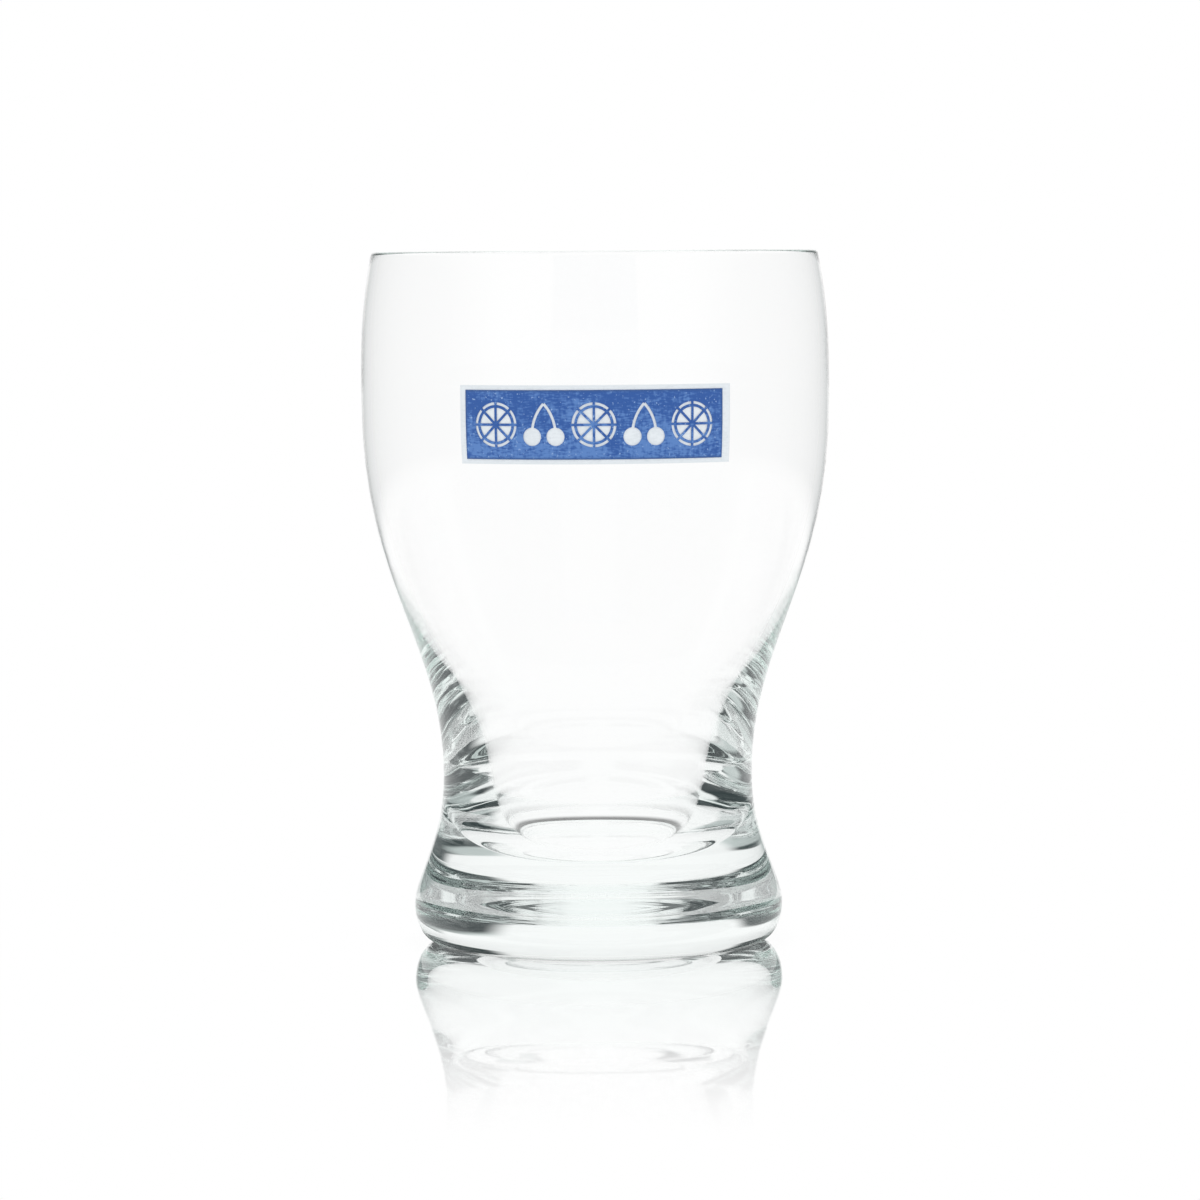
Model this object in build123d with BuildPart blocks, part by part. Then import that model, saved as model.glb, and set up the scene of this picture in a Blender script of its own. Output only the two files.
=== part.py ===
from build123d import *
from math import asin, cos, degrees, radians, sin
import os

# Juice glass: a bellied bowl on a drawn-in waist and a heavy foot, with a fired print of two enamel layers.
# Lengths are in millimetres and angles in degrees. The glass turns about Z, stands on Z = 0, and its
# print faces -Y. A pull is how far a curve keeps to its tangent before it bends away.

# Foot and waist
bearing_inner_radius = 20.4
bearing_outer_radius = 23.8
bearing_inner_round = 3.0
punt_depth = 1.2
heel_pull = 3.7
foot_radius = 28.3
foot_height = 5.9
foot_lower_pull = 2.1
foot_upper_pull = 4.05
waist_radius = 23.7
waist_height = 25.9
waist_lower_pull = 10.45
waist_upper_pull = 20.3

# Bowl and rim
bowl_radius = 35.8
bowl_height = 83.3
bowl_lower_pull = 28.1
bowl_upper_pull = 5.2
glass_height = 106.0
rim_draw_in = 1.6
rim_thickness = 1.2
rim_lean = 11.0
rim_pull = 9.9

# Wall and cavity
bowl_wall = 1.4
waist_wall = 6.4
floor_height = 11.0
cavity_lean = 12.0
cavity_bowl_pull = 28.1
cavity_waist_pull = 16.5
cavity_corner_pull = 12.0
cavity_floor_pull = 16.0

# Print layers, measured along the wall
print_drop = 2.6
print_clearance = 0.05
ground_width = 42.0
ground_height = 11.6
ground_thickness = 0.08
panel_width = 39.6
panel_height = 10.2
panel_thickness = 0.06
panel_shift = -0.2

# Fruit motifs left clear in the blue panel, so that the white ground shows
motif_pitch = 7.4
wheel_radius = 3.3
rind_width = 0.4
pith_width = 0.4
skin_width = 0.36
wheel_skins = 4
cherry_radius = 1.35
cherry_spread = 3.5
cherry_drop = 1.75
stem_width = 0.42
stem_height = 3.1
stem_bow = 0.55
motif_row = ("wheel", "cherries", "wheel", "cherries", "wheel")

# Places worked out from the sizes above
print_height = bowl_height - print_drop
punt_curve_radius = (bearing_inner_radius**2 + punt_depth**2) / (2 * punt_depth)
punt_half_angle = degrees(asin(bearing_inner_radius / punt_curve_radius))
rim_radius = bowl_radius - rim_draw_in
rim_bead_radius = rim_thickness / 2
rim_out = (cos(radians(rim_lean)), sin(radians(rim_lean)))
rim_down = (sin(radians(rim_lean)), -cos(radians(rim_lean)))
rim_centre = (rim_radius - rim_bead_radius, glass_height - rim_bead_radius)
rim_outer = (rim_centre[0] + rim_bead_radius * rim_out[0], rim_centre[1] + rim_bead_radius * rim_out[1])
rim_inner = (rim_centre[0] - rim_bead_radius * rim_out[0], rim_centre[1] - rim_bead_radius * rim_out[1])
rim_top = (rim_centre[0], glass_height)
cavity_bowl_radius = bowl_radius - bowl_wall
cavity_waist_radius = waist_radius - waist_wall
cavity_taper = (sin(radians(cavity_lean)), cos(radians(cavity_lean)))
cavity_upper_pull = (cavity_waist_pull * cavity_taper[0], cavity_waist_pull * cavity_taper[1])
cavity_lower_pull = (cavity_corner_pull * cavity_taper[0], cavity_corner_pull * cavity_taper[1])
ground_inner = print_clearance
ground_outer = ground_inner + ground_thickness
panel_inner = ground_outer + print_clearance
panel_outer = panel_inner + panel_thickness


def outer_wall(proud):
    """Draws the wall's outline from the waist up to the rim, shifted outwards by a distance."""
    Bezier(
        (waist_radius + proud, waist_height),
        (waist_radius + proud, waist_height + waist_upper_pull),
        (bowl_radius + proud, bowl_height - bowl_lower_pull),
        (bowl_radius + proud, bowl_height),
    )
    Bezier(
        (bowl_radius + proud, bowl_height),
        (bowl_radius + proud, bowl_height + bowl_upper_pull),
        (rim_outer[0] + proud + rim_pull * rim_down[0], rim_outer[1] + rim_pull * rim_down[1]),
        (rim_outer[0] + proud, rim_outer[1]),
    )


def cavity_wall():
    """Draws the inside of the glass from the rim down to the middle of the floor."""
    Bezier(
        rim_inner,
        (rim_inner[0] + rim_pull * rim_down[0], rim_inner[1] + rim_pull * rim_down[1]),
        (cavity_bowl_radius, bowl_height + bowl_upper_pull),
        (cavity_bowl_radius, bowl_height),
    )
    Bezier(
        (cavity_bowl_radius, bowl_height),
        (cavity_bowl_radius, bowl_height - cavity_bowl_pull),
        (cavity_waist_radius + cavity_upper_pull[0], waist_height + cavity_upper_pull[1]),
        (cavity_waist_radius, waist_height),
    )
    Bezier(
        (cavity_waist_radius, waist_height),
        (cavity_waist_radius - cavity_lower_pull[0], waist_height - cavity_lower_pull[1]),
        (cavity_floor_pull, floor_height),
        (0, floor_height),
    )


def print_section(inner, outer, height):
    """Sketches a layer's thickness on the wall, between two distances out from the glass."""
    with BuildLine() as outline:
        outer_wall(inner)
        outer_wall(outer)
        Line((waist_radius + inner, waist_height), (waist_radius + outer, waist_height))
        Line((rim_outer[0] + inner, rim_outer[1]), (rim_outer[0] + outer, rim_outer[1]))
    make_face(outline.edges())
    with Locations((bowl_radius, print_height)):
        Rectangle(2 * bowl_radius, height, mode=Mode.INTERSECT)


def angle_along(distance):
    """Gives the angle about Z that a distance along the bowl's widest line covers."""
    return degrees(distance / bowl_radius)


def upright_plane(angle):
    """Gives the plane through the axis that lies at an angle to the right of the front."""
    turn = radians(angle)
    return Plane(origin=(0, 0, 0), x_dir=(sin(turn), -cos(turn), 0), z_dir=(-cos(turn), -sin(turn), 0))


def tangent_plane(angle):
    """Gives the plane that touches the bowl at the print's height, facing outwards."""
    turn = radians(angle)
    touch = (bowl_radius * sin(turn), -bowl_radius * cos(turn), print_height)
    return Plane(origin=touch, x_dir=(cos(turn), sin(turn), 0), z_dir=(sin(turn), -cos(turn), 0))


def citrus_wheel():
    """Sketches a cut fruit: a ring of rind round its wedges, parted by the skins between them."""
    Circle(wheel_radius)
    Circle(wheel_radius - rind_width, mode=Mode.SUBTRACT)
    Circle(wheel_radius - rind_width - pith_width)
    with PolarLocations(0, wheel_skins, angular_range=180):
        Rectangle(3 * wheel_radius, skin_width, mode=Mode.SUBTRACT)


def cherry_pair():
    """Sketches two cherries that hang from bowed stems with one common end."""
    stem_end = (0, stem_height)
    for side in (-1, 1):
        fruit = (side * cherry_spread / 2, -cherry_drop)
        with Locations(fruit):
            Circle(cherry_radius)
        bow = (fruit[0] / 2 + side * stem_bow, (stem_end[1] + fruit[1]) / 2)
        with BuildLine() as stem:
            ThreePointArc(fruit, bow, stem_end)
        trace(stem.edges(), line_width=stem_width)


# Glass body: one turned section, from the punt under the foot out and up to the rim, and down the cavity
with BuildPart() as glass_body:
    with BuildSketch(Plane.XZ):
        with BuildLine():
            Line((0, floor_height), (0, punt_depth))
            JernArc((0, punt_depth), (1, 0), punt_curve_radius, -punt_half_angle)
            Line((bearing_inner_radius, 0), (bearing_outer_radius, 0))
            Bezier(
                (bearing_outer_radius, 0),
                (bearing_outer_radius + heel_pull, 0),
                (foot_radius, foot_height - foot_lower_pull),
                (foot_radius, foot_height),
            )
            Bezier(
                (foot_radius, foot_height),
                (foot_radius, foot_height + foot_upper_pull),
                (waist_radius, waist_height - waist_lower_pull),
                (waist_radius, waist_height),
            )
            outer_wall(0)
            ThreePointArc(rim_outer, rim_top, rim_inner)
            cavity_wall()
        make_face()
    revolve(axis=Axis.Z)
    punt_edge = glass_body.edges().filter_by(GeomType.CIRCLE).group_by(Axis.Z)[0].sort_by(SortBy.LENGTH)[0]
    fillet(punt_edge, radius=bearing_inner_round)

# White ground: the first enamel layer, wrapped on the bowl's widest part
with BuildPart() as print_white_ground:
    with BuildSketch(upright_plane(-angle_along(ground_width) / 2)):
        print_section(ground_inner, ground_outer, ground_height)
    revolve(axis=Axis.Z, revolution_arc=angle_along(ground_width))

# Blue panel: the second enamel layer, printed on the white one and a little out of register with it
with BuildPart() as print_blue_panel:
    with BuildSketch(upright_plane(angle_along(panel_shift) - angle_along(panel_width) / 2)):
        print_section(panel_inner, panel_outer, panel_height)
    revolve(axis=Axis.Z, revolution_arc=angle_along(panel_width))
    for place, motif in enumerate(motif_row):
        offset_along = (place - (len(motif_row) - 1) / 2) * motif_pitch + panel_shift
        with BuildSketch(tangent_plane(angle_along(offset_along))):
            if motif == "wheel":
                citrus_wheel()
            else:
                cherry_pair()
        extrude(amount=wheel_radius, both=True, mode=Mode.SUBTRACT)

os.makedirs("parts", exist_ok=True)
glass_body.part.label = "glass_body"
export_step(glass_body.part, "parts/glass_body.step")
print_white_ground.part.label = "print_white_ground"
export_step(print_white_ground.part, "parts/print_white_ground.step")
print_blue_panel.part.label = "print_blue_panel"
export_step(print_blue_panel.part, "parts/print_blue_panel.step")
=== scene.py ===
import logging
import math
from dataclasses import dataclass, field
from enum import Enum
from functools import reduce

import bpy
from mathutils import Matrix, Vector


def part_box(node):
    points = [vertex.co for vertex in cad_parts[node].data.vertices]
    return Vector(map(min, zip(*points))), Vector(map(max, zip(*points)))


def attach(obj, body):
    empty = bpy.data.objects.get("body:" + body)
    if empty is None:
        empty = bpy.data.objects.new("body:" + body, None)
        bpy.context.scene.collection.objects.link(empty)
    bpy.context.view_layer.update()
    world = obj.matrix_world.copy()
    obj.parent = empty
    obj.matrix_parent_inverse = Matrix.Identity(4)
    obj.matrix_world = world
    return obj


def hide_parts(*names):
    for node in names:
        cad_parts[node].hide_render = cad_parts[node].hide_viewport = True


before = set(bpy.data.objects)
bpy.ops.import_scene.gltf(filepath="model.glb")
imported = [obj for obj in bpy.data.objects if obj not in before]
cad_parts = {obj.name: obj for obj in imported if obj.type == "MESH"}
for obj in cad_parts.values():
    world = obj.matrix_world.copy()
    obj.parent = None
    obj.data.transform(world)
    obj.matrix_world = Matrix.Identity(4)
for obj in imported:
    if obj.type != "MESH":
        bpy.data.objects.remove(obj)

Socket = bpy.types.NodeSocket
Colour = tuple[float, float, float, float]
Pair = tuple[float, float]
Triple = tuple[float, float, float]

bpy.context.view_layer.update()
BODY = "root"
MM = 0.001
WHITE = (1.0, 1.0, 1.0, 1.0)
# Parts a whole count from the next one
HALF_COUNT = 0.5
log = logging.getLogger("juice_glass")


class Node(Enum):
    """The CAD nodes of the glass."""

    GLASS = "glass_body"
    GROUND = "print_white_ground"
    PANEL = "print_blue_panel"


class Slot(Enum):
    """The names of the material slots."""

    GLASS = "clear_glass"
    GROUND = "white_enamel"
    PANEL = "blue_enamel"


class RayFact(Enum):
    """What a ray knows of its way: its last turn, and how often it was mirrored, bent or scattered."""

    GLOSSY = "Is Glossy Ray"
    TRANSMISSION = "Is Transmission Ray"
    SHARP = "Is Singular Ray"
    MIRRORS = "Glossy Depth"
    CROSSINGS = "Transmission Depth"
    SCATTERS = "Diffuse Depth"


class MixSocket(Enum):
    """The places of a colour Mix node's sockets."""

    SHARE = 0
    FIRST = 6
    SECOND = 7
    RESULT = 2


def angles(*degrees: float) -> tuple[float, ...]:
    """Returns angles in radians."""
    return tuple(math.radians(value) for value in degrees)


class NodeBench:
    """A node tree with short ways to add, set and link its nodes."""

    def __init__(self, tree: bpy.types.NodeTree) -> None:
        """Starts from an empty tree.

        Args:
            tree: The node tree to fill.
        """
        self.tree = tree
        self.tree.nodes.clear()

    def add(self, kind: str, values: dict | None = None, **settings: object) -> bpy.types.Node:
        """Adds one node.

        Args:
            kind: The node's type name without the ShaderNode prefix.
            values: Socket names or numbers with a constant, or with an output socket to link from.
            settings: Properties of the node itself.

        Returns:
            The new node.
        """
        node = self.tree.nodes.new("ShaderNode" + kind)
        for name, value in settings.items():
            setattr(node, name, value)
        for name, value in (values or {}).items():
            if isinstance(value, Socket):
                self.tree.links.new(value, node.inputs[name])
            else:
                node.inputs[name].default_value = value
        return node

    def math(self, operation: str, *values: object, clamp: bool = False) -> Socket:
        """Adds a Math node and returns its output.

        Args:
            operation: The Math node's operation.
            values: Numbers or output sockets, in the order of the node's inputs.
            clamp: Whether the result is held between 0 and 1.

        Returns:
            The node's output socket.
        """
        return self.add("Math", dict(enumerate(values)), operation=operation, use_clamp=clamp).outputs[0]

    def product(self, *values: object) -> Socket:
        """Multiplies numbers or output sockets."""
        return reduce(lambda first, second: self.math("MULTIPLY", first, second), values)

    def largest(self, *values: object) -> Socket:
        """Takes the largest of numbers or output sockets."""
        return reduce(lambda first, second: self.math("MAXIMUM", first, second), values)

    def smooth(self, value: Socket, start: float, end: float, low: float = 0.0, high: float = 1.0) -> Socket:
        """Eases from one number to another while a value goes from start to end.

        Args:
            value: The socket that drives the change.
            start: The value where the change begins.
            end: The value where it is over.
            low: The result at the start.
            high: The result at the end.

        Returns:
            The eased output socket.
        """
        steps = {"Value": value, "From Min": start, "From Max": end, "To Min": low, "To Max": high}
        return self.add("MapRange", steps, interpolation_type="SMOOTHSTEP").outputs["Result"]

    def fall(self, value: Socket, start: float, end: float) -> Socket:
        """Eases from 1 to 0 while a value goes from start to end."""
        return self.smooth(value, start, end, 1.0, 0.0)

    def band(self, value: Socket, start: Pair, end: Pair) -> Socket:
        """Eases from 0 to 1 and back.

        Args:
            value: The socket that drives the change.
            start: The values where the rise begins and where it is over.
            end: The values where the fall begins and where it is over.

        Returns:
            The eased output socket.
        """
        return self.math("SUBTRACT", self.smooth(value, *start), self.smooth(value, *end))

    def noise(self, place: Socket, size: Triple, detail: float) -> Socket:
        """Adds a noise with its own scale along each axis.

        Args:
            place: The point or direction.
            size: The scale along X, Y and Z.
            detail: How much finer noise is added.

        Returns:
            The noise's output socket.
        """
        drawn = self.add("VectorMath", {0: place, 1: size}, operation="MULTIPLY").outputs["Vector"]
        return self.add("TexNoise", {"Vector": drawn, "Scale": 1.0, "Detail": detail}).outputs[0]

    def mix(self, share: Socket, first: object, second: object) -> Socket:
        """Mixes two colours.

        Args:
            share: How much of the second colour shows.
            first: A colour or the socket of one.
            second: A colour or the socket of one.

        Returns:
            The mixed colour's output socket.
        """
        values = {MixSocket.SHARE.value: share, MixSocket.FIRST.value: first, MixSocket.SECOND.value: second}
        return self.add("Mix", values, data_type="RGBA").outputs[MixSocket.RESULT.value]

    def blend(self, share: Socket, first: Socket, second: Socket) -> Socket:
        """Mixes two shaders, by the share of the second."""
        return self.add("MixShader", {0: share, 1: first, 2: second}).outputs[0]

    def ray(self, fact: RayFact) -> Socket:
        """Returns what the ray knows of its way."""
        return self.add("LightPath").outputs[fact.value]


def new_material(name: str) -> tuple[bpy.types.Material, NodeBench]:
    """Makes an empty node material.

    Args:
        name: The material's name.

    Returns:
        The material and the bench for its nodes.
    """
    material = bpy.data.materials.new(name)
    material.use_nodes = True
    return material, NodeBench(material.node_tree)


@dataclass(frozen=True)
class ClearGlass:
    """Soda-lime glass: clear, faintly green where it is thick, and a little wavy from the mould."""

    ior: float = 1.52
    tint: Colour = (0.80, 0.90, 0.87, 1.0)
    tint_density: float = 6.0
    wave_scale: float = 110.0
    wave_detail: float = 0.0
    foot_wave: float = 0.014 * MM
    bowl_wave: float = 0.003 * MM
    foot_top: float = 14.0 * MM
    bowl_start: float = 45.0 * MM

    def material(self) -> bpy.types.Material:
        """Makes the glass.

        Returns:
            The glass as a material.
        """
        material, bench = new_material("clear_glass")
        place = bench.add("TexCoord").outputs["Object"]
        height = bench.add("SeparateXYZ", {0: place}).outputs["Z"]
        wave = bench.add("TexNoise", {"Vector": place, "Scale": self.wave_scale, "Detail": self.wave_detail})
        depth = bench.smooth(height, self.foot_top, self.bowl_start, self.foot_wave, self.bowl_wave)
        bump = bench.add("Bump", {"Height": wave.outputs[0], "Distance": depth}).outputs[0]
        shader = bench.add("BsdfPrincipled", {
            "Base Color": WHITE, "Roughness": 0.0, "IOR": self.ior,
            "Transmission Weight": 1.0, "Normal": bump})
        volume = bench.add("VolumeAbsorption", {"Color": self.tint, "Density": self.tint_density})
        bench.add("OutputMaterial", {"Surface": shader.outputs[0], "Volume": volume.outputs[0]})
        return material


@dataclass(frozen=True)
class Enamel:
    """Fired screen-print enamel: satin, with the weave of the screen and thinner places in its ink."""

    name: str
    full: Colour
    thin: Colour
    speck: Colour
    bead: Colour
    fade: float
    thinning: Pair = (0.43, 0.61)
    specks: Pair = (0.66, 0.76)
    bead_width: float = 0.45 * MM
    row_threads: Triple = (1100.0, 1100.0, 3800.0)
    column_threads: Triple = (2600.0, 2600.0, 900.0)
    cloud_size: Triple = (240.0, 240.0, 300.0)
    speck_size: Triple = (2600.0, 2600.0, 2600.0)
    noise_detail: float = 1.0
    row_part: float = 0.4
    column_part: float = 0.25
    cloud_part: float = 0.35
    roughness: float = 0.38
    relief: float = 0.01 * MM

    def from_ends(self, bench: NodeBench, place: Socket, low: float, high: float) -> Socket:
        """Adds the distance to the nearer of a layer's two ends.

        Args:
            bench: The tree to add to.
            place: The place between the ends.
            low: The lower end.
            high: The upper end.

        Returns:
            The distance as an output socket.
        """
        return bench.math("MINIMUM", bench.math("SUBTRACT", place, low), bench.math("SUBTRACT", high, place))

    def material(self, low: Vector, high: Vector) -> bpy.types.Material:
        """Makes the enamel for one layer.

        Args:
            low: The lower corner of the layer's box.
            high: The upper corner of the box.

        Returns:
            The enamel as a material.
        """
        material, bench = new_material(self.name)
        place = bench.add("TexCoord").outputs["Object"]
        parts = bench.add("SeparateXYZ", {0: place})
        rows = bench.product(bench.noise(place, self.row_threads, self.noise_detail), self.row_part)
        columns = bench.product(bench.noise(place, self.column_threads, self.noise_detail), self.column_part)
        clouds = bench.product(bench.noise(place, self.cloud_size, self.noise_detail), self.cloud_part)
        weave = bench.math("ADD", bench.math("ADD", rows, columns), clouds)
        fading = bench.smooth(parts.outputs["Z"], low.z, high.z, self.fade, -self.fade)
        share = bench.smooth(bench.math("ADD", weave, fading), *self.thinning)
        ink = bench.mix(share, self.full, self.thin)
        holes = bench.smooth(bench.noise(place, self.speck_size, self.noise_detail), *self.specks)
        ink = bench.mix(holes, ink, self.speck)
        sides = self.from_ends(bench, parts.outputs["X"], low.x, high.x)
        ends = self.from_ends(bench, parts.outputs["Z"], low.z, high.z)
        edge = bench.fall(bench.math("MINIMUM", sides, ends), 0.0, self.bead_width)
        ink = bench.mix(edge, ink, self.bead)
        bump = bench.add("Bump", {"Height": weave, "Distance": self.relief}).outputs[0]
        shader = bench.add("BsdfPrincipled", {"Base Color": ink, "Roughness": self.roughness, "Normal": bump})
        bench.add("OutputMaterial", {"Surface": shader.outputs[0]})
        return material


@dataclass(frozen=True)
class Knot:
    """A knot of the outline, as radius and height, with the handles before and after it."""

    point: Vector
    before: Vector
    after: Vector


def spot(radius: float, height: float) -> Vector:
    """Returns a point of the outline's upright plane."""
    return Vector((radius, 0.0, height))


def arc_pull(radius: float, angle: float) -> float:
    """Returns the length of the handles that draw an arc."""
    return 4 / 3 * math.tan(angle / 4) * radius


@dataclass
class GlassBody:
    """The vessel, turned from one outline: foot, waist, bowl and rim outside, and the cavity inside."""

    height: float
    bearing_inner_radius: float = 20.4 * MM
    bearing_outer_radius: float = 23.8 * MM
    punt_depth: float = 1.2 * MM
    heel_pull: float = 3.7 * MM
    foot_radius: float = 28.3 * MM
    foot_height: float = 5.9 * MM
    foot_lower_pull: float = 2.1 * MM
    foot_upper_pull: float = 4.05 * MM
    waist_radius: float = 23.7 * MM
    waist_height: float = 25.9 * MM
    waist_lower_pull: float = 10.45 * MM
    waist_upper_pull: float = 20.3 * MM
    bowl_radius: float = 35.8 * MM
    bowl_height: float = 83.3 * MM
    bowl_lower_pull: float = 28.1 * MM
    bowl_upper_pull: float = 5.2 * MM
    rim_radius: float = 34.2 * MM
    rim_thickness: float = 1.2 * MM
    rim_lean: float = math.radians(11.0)
    rim_pull: float = 9.9 * MM
    bowl_wall: float = 1.4 * MM
    waist_wall: float = 6.4 * MM
    floor_height: float = 11.0 * MM
    cavity_bowl_pull: float = 28.1 * MM
    cavity_lean: float = math.radians(12.0)
    cavity_waist_pull: float = 16.5 * MM
    cavity_corner_pull: float = 12.0 * MM
    cavity_floor_pull: float = 16.0 * MM
    curve_steps: int = 16
    turn_steps: int = 256
    merge_distance: float = 1e-6
    finish: ClearGlass = field(default_factory=ClearGlass)

    def outline(self) -> list[Knot]:
        """Draws the outline from the middle of the punt, up the outside and down to the cavity's floor.

        Returns:
            The knots in that order.
        """
        up = Vector((0.0, 0.0, 1.0))
        outwards = Vector((1.0, 0.0, 0.0))
        bead = self.rim_thickness / 2
        lean_out = Vector((math.cos(self.rim_lean), 0.0, math.sin(self.rim_lean)))
        lean_down = Vector((math.sin(self.rim_lean), 0.0, -math.cos(self.rim_lean)))
        rim = spot(self.rim_radius - bead, self.height - bead)
        bead_pull = arc_pull(bead, math.pi / 2)
        punt_radius = (self.bearing_inner_radius ** 2 + self.punt_depth ** 2) / (2 * self.punt_depth)
        punt_angle = math.asin(self.bearing_inner_radius / punt_radius)
        punt_pull = arc_pull(punt_radius, punt_angle)
        punt_slope = Vector((-math.cos(punt_angle), 0.0, math.sin(punt_angle)))
        taper = Vector((math.sin(self.cavity_lean), 0.0, math.cos(self.cavity_lean)))

        punt = spot(0.0, self.punt_depth)
        inner_ring = spot(self.bearing_inner_radius, 0.0)
        outer_ring = spot(self.bearing_outer_radius, 0.0)
        foot = spot(self.foot_radius, self.foot_height)
        waist = spot(self.waist_radius, self.waist_height)
        bowl = spot(self.bowl_radius, self.bowl_height)
        rim_outside = rim + lean_out * bead
        rim_crown = rim - lean_down * bead
        rim_inside = rim - lean_out * bead
        cavity_bowl = spot(self.bowl_radius - self.bowl_wall, self.bowl_height)
        cavity_waist = spot(self.waist_radius - self.waist_wall, self.waist_height)
        cavity_floor = spot(0.0, self.floor_height)
        return [
            Knot(punt, punt, punt + outwards * punt_pull),
            Knot(inner_ring, inner_ring + punt_slope * punt_pull, inner_ring.lerp(outer_ring, 1 / 3)),
            Knot(outer_ring, inner_ring.lerp(outer_ring, 2 / 3), outer_ring + outwards * self.heel_pull),
            Knot(foot, foot - up * self.foot_lower_pull, foot + up * self.foot_upper_pull),
            Knot(waist, waist - up * self.waist_lower_pull, waist + up * self.waist_upper_pull),
            Knot(bowl, bowl - up * self.bowl_lower_pull, bowl + up * self.bowl_upper_pull),
            Knot(rim_outside, rim_outside + lean_down * self.rim_pull, rim_outside - lean_down * bead_pull),
            Knot(rim_crown, rim_crown + lean_out * bead_pull, rim_crown - lean_out * bead_pull),
            Knot(rim_inside, rim_inside - lean_down * bead_pull, rim_inside + lean_down * self.rim_pull),
            Knot(cavity_bowl, cavity_bowl + up * self.bowl_upper_pull,
                 cavity_bowl - up * self.cavity_bowl_pull),
            Knot(cavity_waist, cavity_waist + taper * self.cavity_waist_pull,
                 cavity_waist - taper * self.cavity_corner_pull),
            Knot(cavity_floor, cavity_floor + outwards * self.cavity_floor_pull, cavity_floor),
        ]

    def build(self) -> bpy.types.Object:
        """Draws the outline as a curve, turns it about the axis and dresses it.

        Returns:
            The finished piece.
        """
        knots = self.outline()
        bpy.ops.object.select_all(action="DESELECT")
        bpy.ops.curve.primitive_bezier_curve_add(location=(0.0, 0.0, 0.0))
        piece = bpy.context.active_object
        piece.name = "turned_glass"
        piece.data.resolution_u = self.curve_steps
        spline = piece.data.splines[0]
        spline.bezier_points.add(len(knots) - len(spline.bezier_points))
        for place, knot in zip(spline.bezier_points, knots):
            place.handle_left_type = place.handle_right_type = "FREE"
            place.co = knot.point
            place.handle_left = knot.before
            place.handle_right = knot.after
        bpy.ops.object.convert(target="MESH")
        bpy.ops.object.mode_set(mode="EDIT")
        bpy.ops.mesh.select_all(action="SELECT")
        bpy.ops.mesh.spin(steps=self.turn_steps, angle=math.tau, center=(0.0, 0.0, 0.0), axis=(0.0, 0.0, 1.0))
        bpy.ops.mesh.select_all(action="SELECT")
        bpy.ops.mesh.remove_doubles(threshold=self.merge_distance)
        bpy.ops.mesh.normals_make_consistent(inside=False)
        bpy.ops.object.mode_set(mode="OBJECT")
        bpy.ops.object.shade_smooth()
        piece.data.materials.clear()
        piece.data.materials.append(self.finish.material())
        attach(piece, BODY)
        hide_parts(Node.GLASS.value)
        return piece


@dataclass
class EnamelPrint:
    """The two printed layers, which keep their CAD shape and get their finish here."""

    ground: Enamel = Enamel(
        Slot.GROUND.value, full=(0.80, 0.85, 0.89, 1.0), thin=(0.74, 0.79, 0.83, 1.0),
        speck=(0.70, 0.76, 0.81, 1.0), bead=(0.76, 0.81, 0.84, 1.0), fade=0.02)
    panel: Enamel = Enamel(
        Slot.PANEL.value, full=(0.009, 0.085, 0.35, 1.0), thin=(0.085, 0.215, 0.54, 1.0),
        speck=(0.25, 0.40, 0.68, 1.0), bead=(0.022, 0.085, 0.27, 1.0), fade=0.05)

    def dress(self) -> list[bpy.types.Object]:
        """Gives each layer its enamel.

        Returns:
            The dressed layers.
        """
        layers = []
        for node, enamel in ((Node.GROUND, self.ground), (Node.PANEL, self.panel)):
            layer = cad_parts[node.value]
            layer.data.materials.clear()
            layer.data.materials.append(enamel.material(*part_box(node.value)))
            layers.append(layer)
        return layers


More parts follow.
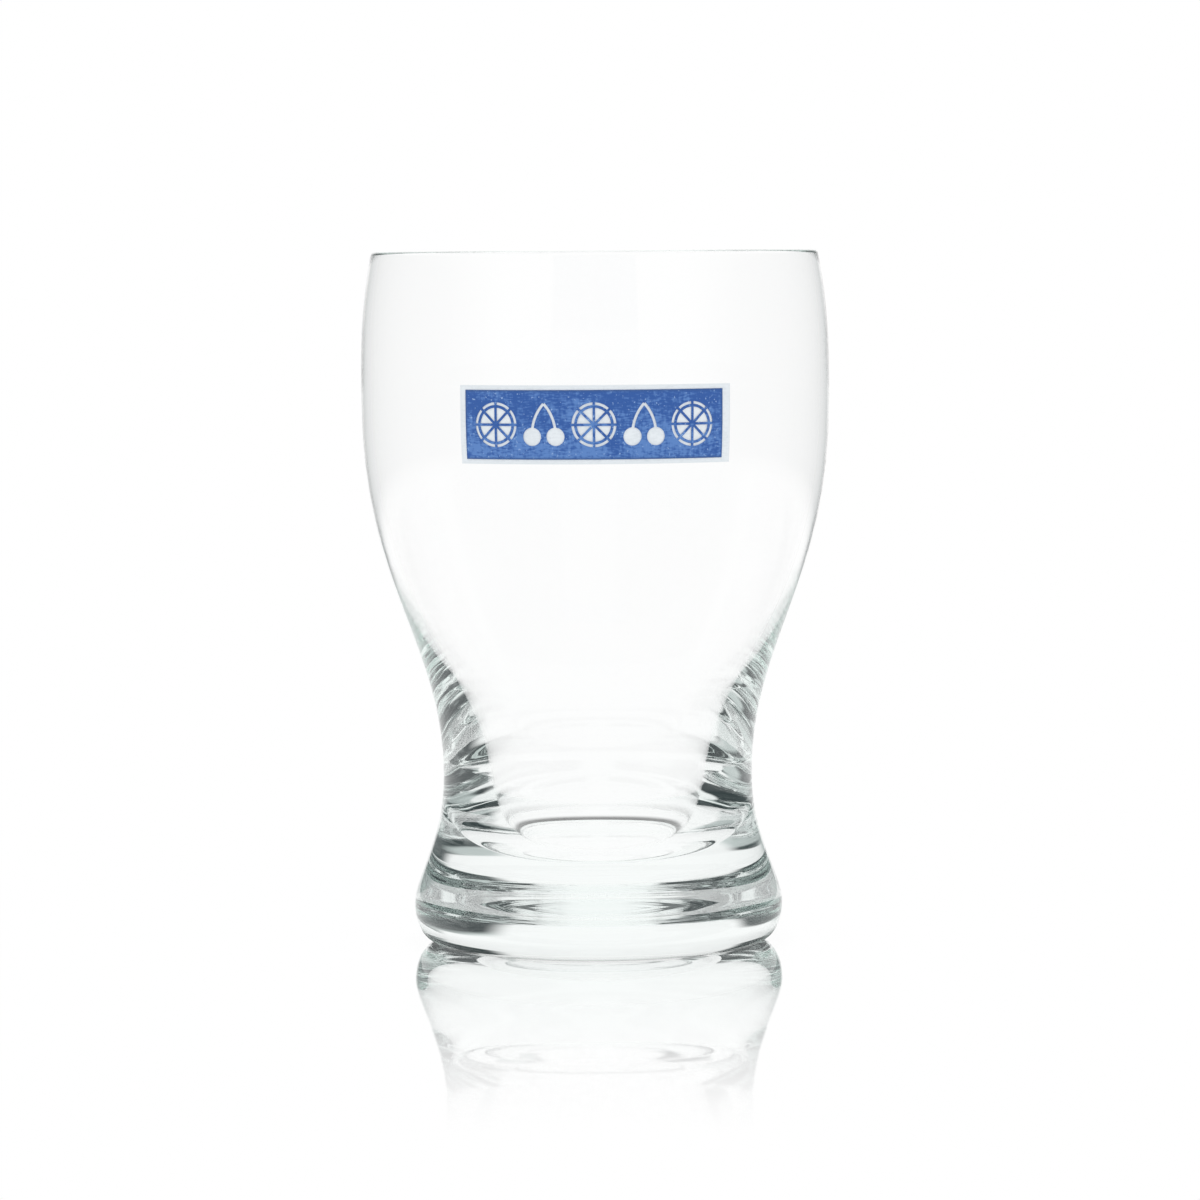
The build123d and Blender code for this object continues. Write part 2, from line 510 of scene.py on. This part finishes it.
@dataclass
class Studio:
    """A white table and a white surround, with a darker room that only the glass shows.

    The camera, the print and light that goes straight through both walls of the bowl see white. What other
    light sees depends on its way through the glass.

    Inside light enters the glass and leaves it without crossing the cavity, as in the waist and the foot. It
    sees the room: a backdrop behind, a wide light overhead, and dark walls between them, which draw the dark
    bands. If it was mirrored only once in the glass, it sees white, apart from what is behind and high up. If
    it ran down inside the wall from the rim it sees white, and if it was trapped in the foot it sees dark
    walls.

    Turned light crossed the cavity and was mirrored in the glass too. It sees the room when it was mirrored
    more than once and goes high, and else white behind and a paler front.

    Outer light is mirrored by the outside of the glass. It sees dim sides low down, which shade the edges of
    the bowl.
    """

    # The floor, in metres from the axis of the glass
    floor_radius: float = 4.0
    floor_sides: int = 96
    polish: Pair = (0.03, 0.18)
    floor_ior: float = 1.6
    floor_gloss: float = 1.9
    floor_roughness: float = 0.02
    shadow: Pair = (0.02, 0.05)
    # Painted contact shadow: the floor's white glow is dimmed to contact_shade in a ring under the heel
    contact_radius: float = 0.0262
    contact_reach: Pair = (0.001, 0.005)
    contact_shade: float = 0.15
    opening_straight: Pair = (0.07, 0.10)
    opening_turned: Pair = (0.16, 0.22)
    table_end: Pair = (0.30, 0.55)

    # The dim sides
    side_start: Pair = angles(10.0, 22.0)
    side_end: Pair = angles(90.0, 140.0)
    side_top: Pair = angles(12.0, 30.0)
    side_colour: Colour = (0.24, 0.27, 0.27, 1.0)

    # The room's lights
    backdrop_edge: Pair = angles(52.0, 62.0)
    backdrop_squeeze: float = math.radians(24.0)
    backdrop_turn: float = math.radians(8.0)
    table_near: Pair = angles(-17.0, -12.0)
    table_far: Pair = angles(3.0, 8.0)
    lid_axis: Triple = (0.036, 0.205, 0.978)
    lid_reach: Pair = angles(45.0, 48.0)
    under_axis: Triple = (0.0, 0.0, -1.0)
    under_reach: Pair = angles(44.0, 56.0)
    front_edge: Pair = angles(7.0, 15.0)
    front_foot: Pair = angles(1.0, 5.0)

    # The room's dark walls
    gap_edge: Pair = angles(62.0, 72.0)
    gap_foot: Pair = angles(5.0, 9.0)
    gap_top: Pair = angles(24.0, 30.0)
    gap_shade: float = -0.15
    wall_colour: Colour = (0.028, 0.041, 0.043, 1.0)
    streak_colour: Colour = (0.56, 0.61, 0.60, 1.0)
    streak_size: Triple = (1.2, 1.2, 4.0)
    streak_detail: float = 0.5
    streaks: Pair = (0.53, 0.67)
    left_paler: float = 0.14
    left_top: Pair = angles(4.0, 14.0)

    # What tells the kinds of light apart, and what they see
    inside_crossings: float = 2.0
    inside_margin: float = 1.5
    cavity_crossings: float = 3.5
    turned_rise: Pair = angles(10.0, 16.0)
    plain_rise: Pair = angles(28.0, 36.0)
    plain_front: Pair = (-0.15, 0.15)
    piped_mirrors: float = 12.5
    trapped_mirrors: float = 24.5
    piped_rise: Pair = angles(0.0, 12.0)
    front_colour: Colour = (0.82, 0.83, 0.83, 1.0)
    front_end: Pair = (-0.3, 0.3)

    # How often light may turn before it is given up
    bounces: int = 160
    mirror_bounces: int = 128

    def room(self, bench: NodeBench, way: Socket) -> Socket:
        """Adds the room's colour in a direction.

        Args:
            bench: The tree to add to.
            way: The direction, seen from the glass.

        Returns:
            A colour socket, from the dark walls to white.
        """
        parts = bench.add("SeparateXYZ", {0: way})
        heading = bench.math("ARCTAN2", parts.outputs["X"], parts.outputs["Y"])
        turn = bench.math("ABSOLUTE", bench.math("ADD", heading, self.backdrop_turn))
        rise = bench.math("ARCSINE", parts.outputs["Z"])
        beyond = bench.math("SUBTRACT", 1.0, bench.band(rise, self.table_near, self.table_far))
        aside = bench.math("MULTIPLY_ADD", beyond, self.backdrop_squeeze, turn)
        backdrop = bench.fall(aside, *self.backdrop_edge)
        lid = self.spread(bench, way, self.lid_axis, self.lid_reach)
        under = self.spread(bench, way, self.under_axis, self.under_reach)
        front_turn = bench.math("SUBTRACT", math.pi, bench.math("ABSOLUTE", heading))
        front = bench.product(bench.fall(front_turn, *self.front_edge), bench.smooth(rise, *self.front_foot))
        light = bench.largest(lid, under, backdrop, front)
        return bench.mix(light, self.walls(bench, way, rise, turn), WHITE)

    def walls(self, bench: NodeBench, way: Socket, rise: Socket, turn: Socket) -> Socket:
        """Adds the colour of the dark walls, with their paler streaks.

        Args:
            bench: The tree to add to.
            way: The direction, seen from the glass.
            rise: The direction's angle above the table.
            turn: The direction's angle from the middle of the backdrop.

        Returns:
            A colour socket.
        """
        grain = bench.noise(way, self.streak_size, self.streak_detail)
        leftwards = bench.product(bench.add("SeparateXYZ", {0: way}).outputs["X"], -self.left_paler)
        paler = bench.product(bench.largest(leftwards, 0.0), bench.fall(rise, *self.left_top))
        gap = bench.product(bench.fall(turn, *self.gap_edge), bench.band(rise, self.gap_foot, self.gap_top))
        shade = bench.math("MULTIPLY_ADD", gap, self.gap_shade, bench.math("ADD", grain, paler))
        return bench.mix(bench.smooth(shade, *self.streaks), self.wall_colour, self.streak_colour)

    def spread(self, bench: NodeBench, way: Socket, axis: Triple, reach: Pair) -> Socket:
        """Adds a round light that spreads from an axis.

        Args:
            bench: The tree to add to.
            way: The direction, seen from the glass.
            axis: The direction of the light's middle.
            reach: The angles from the middle where the light begins to fade and where it is gone.

        Returns:
            A socket that is 1 in the light.
        """
        near = bench.add("VectorMath", {0: way, 1: axis}, operation="DOT_PRODUCT").outputs["Value"]
        return bench.fall(bench.math("ARCCOSINE", near), *reach)

    def inside(self, bench: NodeBench) -> Socket:
        """Adds a test for inside light, by the surfaces that it crossed.

        Args:
            bench: The tree to add to.

        Returns:
            A socket that is 1 for such light.
        """
        crossings = bench.ray(RayFact.CROSSINGS)
        few = bench.math("COMPARE", crossings, self.inside_crossings, self.inside_margin)
        return bench.product(few, bench.math("LESS_THAN", bench.ray(RayFact.SCATTERS), HALF_COUNT))

    def turned(self, bench: NodeBench) -> Socket:
        """Adds a test for turned light.

        Args:
            bench: The tree to add to.

        Returns:
            A socket that is 1 for such light.
        """
        crossed = bench.math("GREATER_THAN", bench.ray(RayFact.CROSSINGS), self.cavity_crossings)
        mirrored = bench.math("GREATER_THAN", bench.ray(RayFact.MIRRORS), bench.ray(RayFact.SCATTERS))
        return bench.product(crossed, mirrored)

    def outer(self, bench: NodeBench) -> Socket:
        """Adds a test for outer light.

        Args:
            bench: The tree to add to.

        Returns:
            A socket that is 1 for such light.
        """
        outside = bench.math("LESS_THAN", bench.ray(RayFact.CROSSINGS), HALF_COUNT)
        mirrored = bench.math("GREATER_THAN", bench.ray(RayFact.MIRRORS), HALF_COUNT)
        return bench.product(outside, mirrored, bench.ray(RayFact.SHARP))

    def single(self, bench: NodeBench) -> Socket:
        """Adds a test for light that was mirrored once."""
        return bench.math("COMPARE", bench.ray(RayFact.MIRRORS), 1.0, HALF_COUNT)

    def to_side(self, bench: NodeBench, way: Socket) -> Socket:
        """Adds a test for directions away from the backdrop.

        Args:
            bench: The tree to add to.
            way: The direction, seen from the glass.

        Returns:
            A socket that is 1 to the sides, and 0 towards the backdrop and the front.
        """
        parts = bench.add("SeparateXYZ", {0: way})
        heading = bench.math("ARCTAN2", parts.outputs["X"], parts.outputs["Y"])
        return bench.band(bench.math("ABSOLUTE", heading), self.side_start, self.side_end)

    def inside_colour(self, bench: NodeBench, room: Socket, depth: Socket, rise: Socket) -> Socket:
        """Adds what inside light sees.

        Args:
            bench: The tree to add to.
            room: The room's colour.
            depth: The direction's part towards the backdrop.
            rise: The direction's angle above the table.

        Returns:
            A colour socket.
        """
        mirrors = bench.ray(RayFact.MIRRORS)
        piped = bench.math("GREATER_THAN", mirrors, self.piped_mirrors)
        piped = bench.product(bench.fall(rise, *self.piped_rise), piped)
        trapped = bench.math("GREATER_THAN", mirrors, self.trapped_mirrors)
        trapped = bench.product(bench.smooth(rise, *self.piped_rise), trapped)
        plain = bench.largest(bench.fall(depth, *self.plain_front), bench.fall(rise, *self.plain_rise))
        plain = bench.largest(bench.product(self.single(bench), plain), piped)
        return bench.mix(plain, bench.mix(trapped, room, self.wall_colour), WHITE)

    def turned_colour(self, bench: NodeBench, room: Socket, depth: Socket, rise: Socket) -> Socket:
        """Adds what turned light sees.

        Args:
            bench: The tree to add to.
            room: The room's colour.
            depth: The direction's part towards the backdrop.
            rise: The direction's angle above the table.

        Returns:
            A colour socket.
        """
        front = bench.mix(bench.smooth(depth, *self.front_end), self.front_colour, WHITE)
        high = bench.mix(bench.smooth(rise, *self.turned_rise), front, room)
        return bench.mix(self.single(bench), high, front)

    def floor_material(self) -> bpy.types.Material:
        """Makes the floor: white, polished round the glass, with the shadow, a painted contact shadow in a
        ring under the heel, and plain white further out.

        Returns:
            The floor's material, which is open under the glass for inside light.
        """
        material, bench = new_material("studio_floor")
        place = bench.add("TexCoord").outputs["Object"]
        away = bench.add("VectorMath", {0: place}, operation="LENGTH").outputs["Value"]
        # Painted contact shadow: a dark ring in the floor's glow under the heel, seen directly and through
        # the glass
        from_contact = bench.math("ABSOLUTE", bench.math("SUBTRACT", away, self.contact_radius))
        painted_contact_shadow = bench.smooth(from_contact, *self.contact_reach, self.contact_shade, 1.0)
        matt = bench.add("BsdfDiffuse", {"Color": WHITE}).outputs[0]
        gloss = bench.add("BsdfGlossy", {"Color": WHITE, "Roughness": self.floor_roughness}).outputs[0]
        plain = bench.add("Emission", {"Color": WHITE, "Strength": painted_contact_shadow}).outputs[0]
        lit = bench.blend(bench.smooth(away, *self.shadow), matt, plain)
        fresnel = bench.add("Fresnel", {"IOR": self.floor_ior}).outputs[0]
        sheen = bench.math("MULTIPLY", fresnel, self.floor_gloss, clamp=True)
        shown = bench.blend(bench.product(sheen, bench.fall(away, *self.polish)), lit, gloss)

        sideways = bench.product(self.to_side(bench, place), bench.smooth(away, *self.table_end))
        table_colour = bench.mix(bench.product(sideways, self.outer(bench)), WHITE, self.side_colour)
        table = bench.add("Emission", {"Color": table_colour, "Strength": painted_contact_shadow}).outputs[0]
        by_glass = bench.largest(bench.ray(RayFact.GLOSSY), bench.ray(RayFact.TRANSMISSION))
        closed = bench.blend(by_glass, shown, table)

        mirrored = bench.math("GREATER_THAN", bench.ray(RayFact.MIRRORS), HALF_COUNT)
        wide = bench.product(mirrored, bench.fall(away, *self.opening_turned))
        opening = bench.largest(wide, bench.fall(away, *self.opening_straight))
        clear = bench.add("BsdfTransparent", {"Color": WHITE}).outputs[0]
        whole = bench.blend(bench.product(opening, self.inside(bench)), closed, clear)
        bench.add("OutputMaterial", {"Surface": whole})
        return material

    def build_floor(self) -> None:
        """Lays the floor."""
        bpy.ops.object.select_all(action="DESELECT")
        bpy.ops.mesh.primitive_circle_add(
            vertices=self.floor_sides, radius=self.floor_radius, fill_type="NGON")
        floor = bpy.context.active_object
        floor.name = "studio_floor"
        floor.data.materials.append(self.floor_material())

    def build_world(self) -> None:
        """Sets the surround: white, with the room for light that the glass bent or mirrored."""
        world = bpy.data.worlds.new("studio")
        bpy.context.scene.world = world
        world.use_nodes = True
        bench = NodeBench(world.node_tree)
        way = bench.add("TexCoord").outputs["Generated"]
        parts = bench.add("SeparateXYZ", {0: way})
        depth = parts.outputs["Y"]
        rise = bench.math("ARCSINE", parts.outputs["Z"])
        room = self.room(bench, way)
        low_side = bench.product(self.to_side(bench, way), bench.fall(rise, *self.side_top))
        around = bench.mix(bench.product(low_side, self.outer(bench)), WHITE, self.side_colour)
        seen = bench.mix(self.turned(bench), around, self.turned_colour(bench, room, depth, rise))
        colour = bench.mix(self.inside(bench), seen, self.inside_colour(bench, room, depth, rise))
        background = bench.add("Background", {"Color": colour, "Strength": 1.0})
        bench.add("OutputWorld", {"Surface": background.outputs[0]})

    def build(self) -> None:
        """Lets light turn often enough to leave the glass, and sets up the floor and the surround."""
        cycles = bpy.context.scene.cycles
        cycles.max_bounces = self.bounces
        cycles.glossy_bounces = self.mirror_bounces
        cycles.transmission_bounces = self.bounces
        cycles.blur_glossy = 0.0
        self.build_floor()
        self.build_world()


@dataclass
class PhotoCamera:
    """The camera at the photograph's viewpoint, found by fitting the outline of the glass."""

    distance: float = 792.6 * MM
    height: float = 107.6 * MM
    aside: float = 0.52 * MM
    pitch: float = 0.0694
    roll: float = 0.0067
    focal_px: float = 5172.0
    image_px: float = 1200.0
    sensor: float = 36.0
    clip_start: float = 10.0 * MM

    def build(self) -> bpy.types.Object:
        """Places the camera and makes it the scene's own.

        Returns:
            The camera.
        """
        bpy.ops.object.select_all(action="DESELECT")
        bpy.ops.object.camera_add()
        camera = bpy.context.active_object
        camera.name = "photo_camera"
        camera.data.sensor_width = self.sensor
        camera.data.lens = self.focal_px / self.image_px * self.sensor
        camera.data.clip_start = self.clip_start
        look = Matrix.Rotation(math.pi / 2 - self.pitch, 4, "X") @ Matrix.Rotation(-self.roll, 4, "Z")
        camera.matrix_world = Matrix.Translation((self.aside, -self.distance, self.height)) @ look
        bpy.context.scene.camera = camera
        return camera


def main() -> None:
    """Builds the camera, the glass, its print and the studio."""
    logging.basicConfig(level=logging.INFO)
    bpy.context.scene.view_settings.view_transform = "Standard"
    PhotoCamera().build()
    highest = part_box(Node.GLASS.value)[1]
    pieces = [GlassBody(height=highest.z).build(), *EnamelPrint().dress()]
    for piece in pieces:
        log.info("%s has %d faces", piece.name, len(piece.data.polygons))
    Studio().build()


if __name__ == "__main__":
    main()
